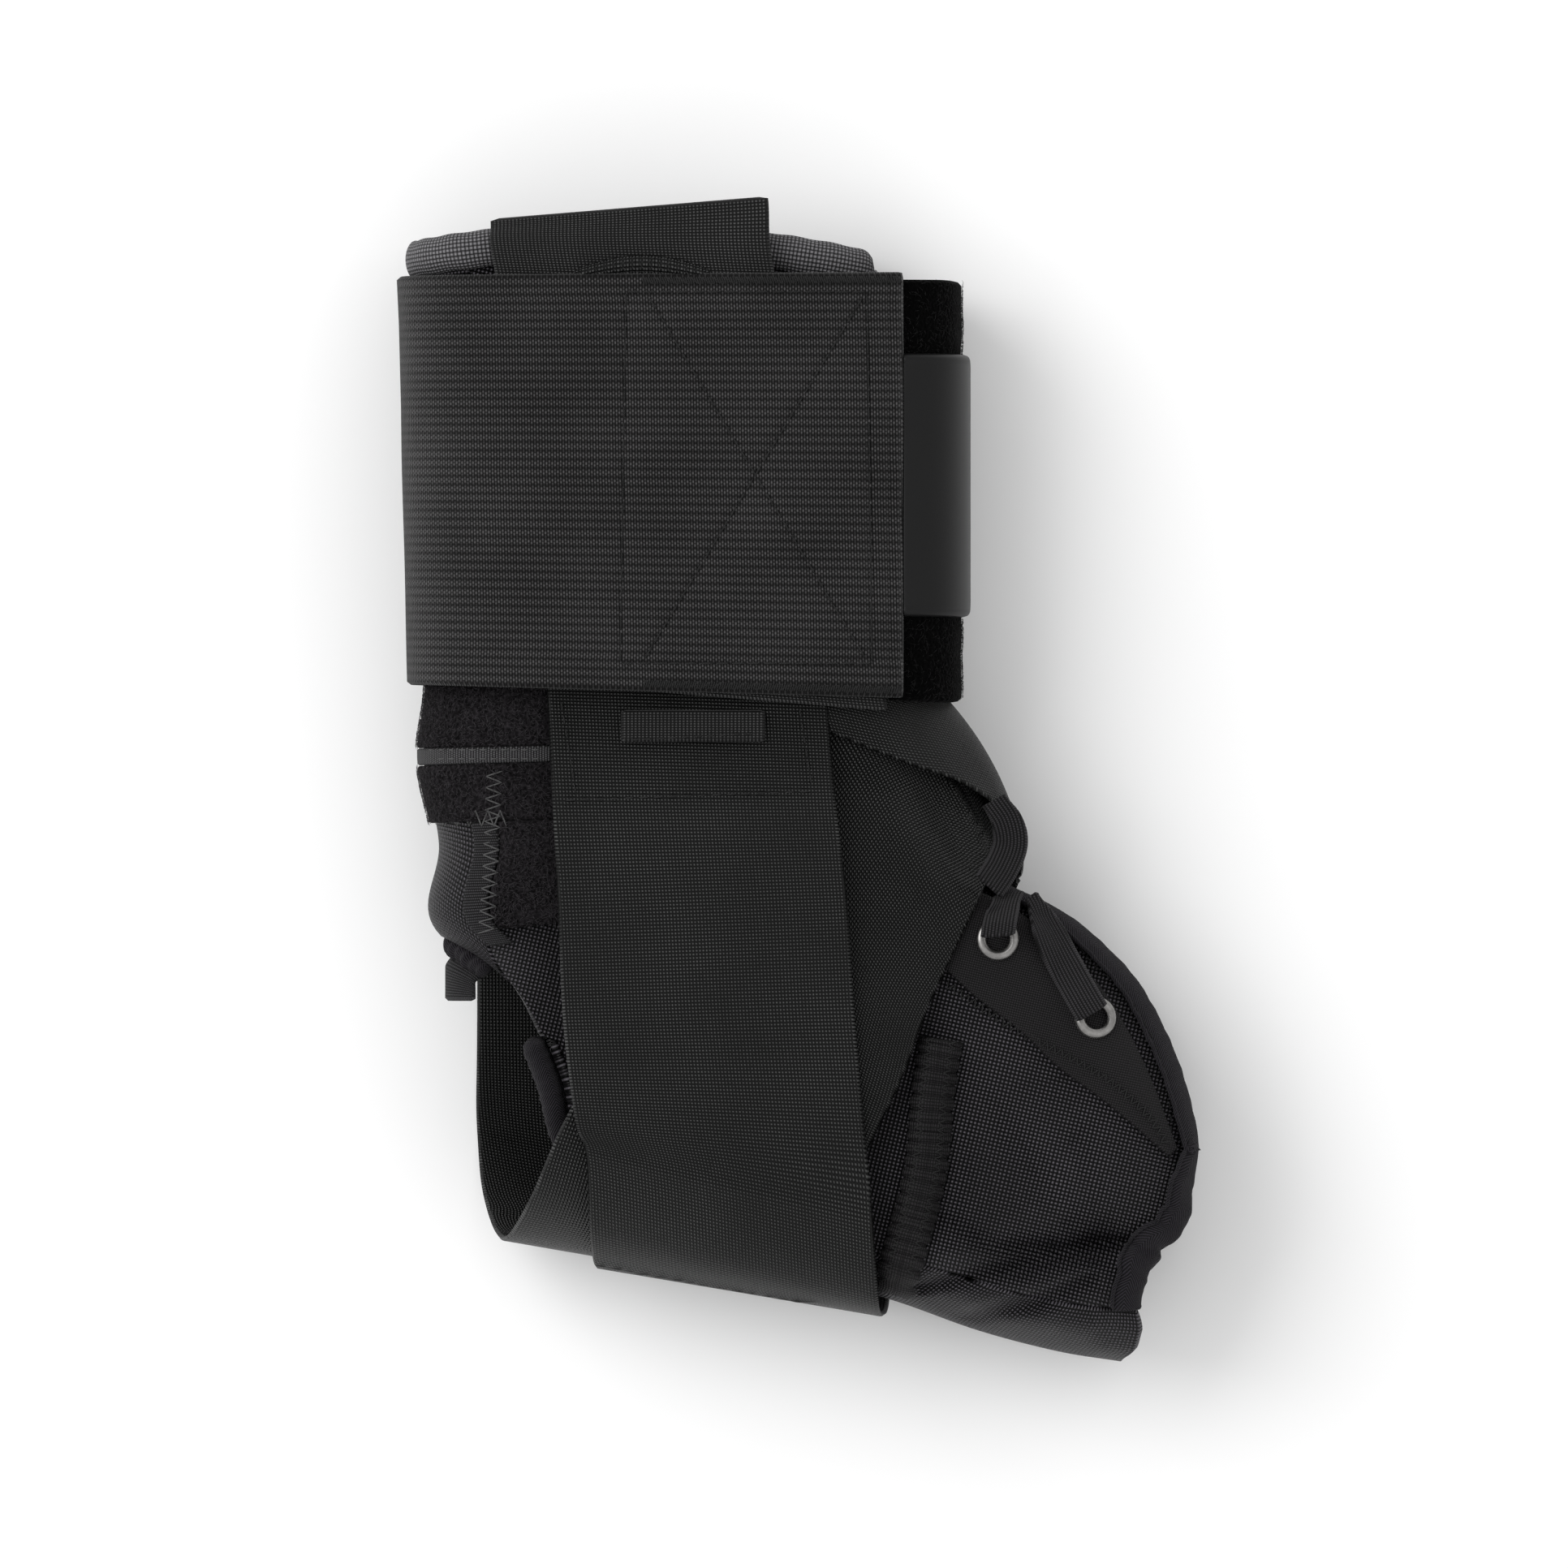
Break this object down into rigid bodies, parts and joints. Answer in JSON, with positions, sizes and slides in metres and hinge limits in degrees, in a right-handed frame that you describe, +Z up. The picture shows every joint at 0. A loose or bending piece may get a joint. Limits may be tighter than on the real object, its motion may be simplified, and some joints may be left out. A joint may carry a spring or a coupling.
{
  "type": "ankle brace",
  "caption": "Laced ankle brace for a foot, lying on its side: open-toe mesh bootie with an open heel, two stabilising straps wrapped in a figure of eight and an elastic cuff round the leg.",
  "frame": {"origin": "middle of the whole brace in plan, on the surface that it lies on", "axes": "+Y up the leg (the longest way), +X towards the toe, +Z up from the surface through the brace's thickness"},
  "size_m": [0.1484, 0.2146, 0.046],
  "materials": {
    "mesh": "padded black basket-weave mesh",
    "webbing": "plain-woven black webbing",
    "hook_tape": "woven black hook tape",
    "elastic": "ribbed black elastic",
    "pile": "black loop pile",
    "binding": "black twill binding tape",
    "grosgrain": "grey grosgrain tape",
    "lace": "flat woven black lace",
    "rubber": "matte dark rubber",
    "nickel": "polished nickel"
  },
  "bodies": {
    "root": {"near_quarter": "mesh", "far_quarter": "mesh", "near_eyestay": "mesh", "far_eyestay": "mesh", "back_panel": "mesh", "sole_panel": "mesh", "gather_channel": "mesh", "near_eyelet_1": "nickel", "near_eyelet_2": "nickel", "far_eyelet_1": "nickel", "far_eyelet_2": "nickel", "near_edge_binding": "binding", "far_edge_binding": "binding", "near_heel_piping": "binding", "far_heel_piping": "binding", "heel_binding": "binding", "top_rim": "binding", "pull_tab": "binding", "grosgrain_strip": "binding", "grosgrain_edge": "grosgrain", "pile_band_upper": "pile", "pile_band_lower": "pile", "pile_strip": "pile", "cuff_pile_panel": "pile", "cross_strap": "webbing", "side_strap": "webbing", "hook_strap": "hook_tape", "strap_loop": "webbing", "stitched_patch": "webbing", "cuff_elastic": "elastic", "label_patch": "rubber", "lace_instep": "lace", "lace_upper": "lace", "lace_lower": "lace"}
  },
  "joints": []
}
